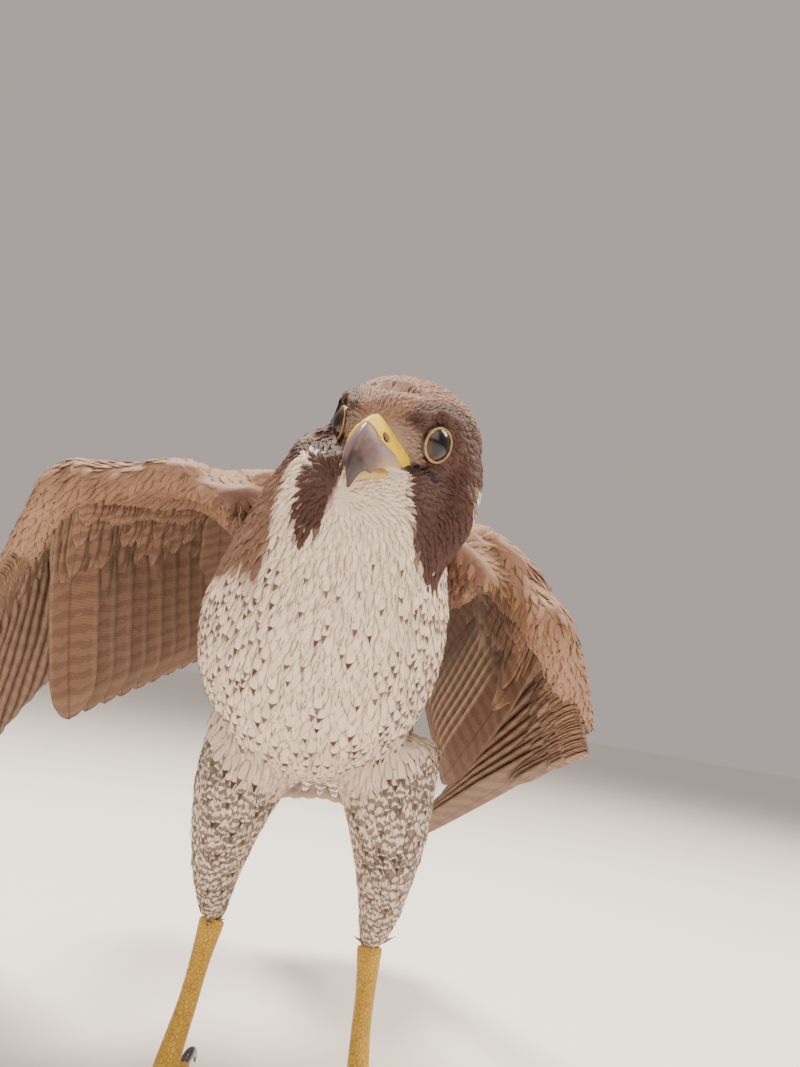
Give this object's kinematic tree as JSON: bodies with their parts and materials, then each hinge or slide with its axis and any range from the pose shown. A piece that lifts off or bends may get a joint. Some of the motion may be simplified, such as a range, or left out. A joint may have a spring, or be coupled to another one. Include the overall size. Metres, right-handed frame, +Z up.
{
  "type": "peregrine falcon figure",
  "caption": "Life-size peregrine falcon standing with half-open wings and its head turned down to its right.",
  "frame": {"origin": "on the floor, under the middle of the bird's bounding box", "axes": "+Z up; the bird's trunk faces -Y, and its left side is +X"},
  "size_m": [0.384, 0.3584, 0.29],
  "materials": {
    "flight": "brown feather vanes",
    "hood": "dark brown head feathers",
    "breast": "cream feathers with dark spots and bars",
    "bare_skin": "yellow scaled skin",
    "bill": "smooth grey horn",
    "eye": "wet dark eye",
    "claw": "smooth black horn"
  },
  "bodies": {
    "root": {"head": "hood", "neck": "breast", "torso": "breast", "cere": "bare_skin", "upper_bill": "bill", "lower_bill": "bill", "tail": "flight", "eye_left": "eye", "wing_left": "flight", "thigh_left": "breast", "shank_left": "bare_skin", "foot_left": "bare_skin", "claw_left_inner": "claw", "claw_left_middle": "claw", "claw_left_outer": "claw", "claw_left_hind": "claw", "eye_right": "eye", "wing_right": "flight", "thigh_right": "breast", "shank_right": "bare_skin", "foot_right": "bare_skin", "claw_right_inner": "claw", "claw_right_middle": "claw", "claw_right_outer": "claw", "claw_right_hind": "claw"}
  },
  "joints": []
}
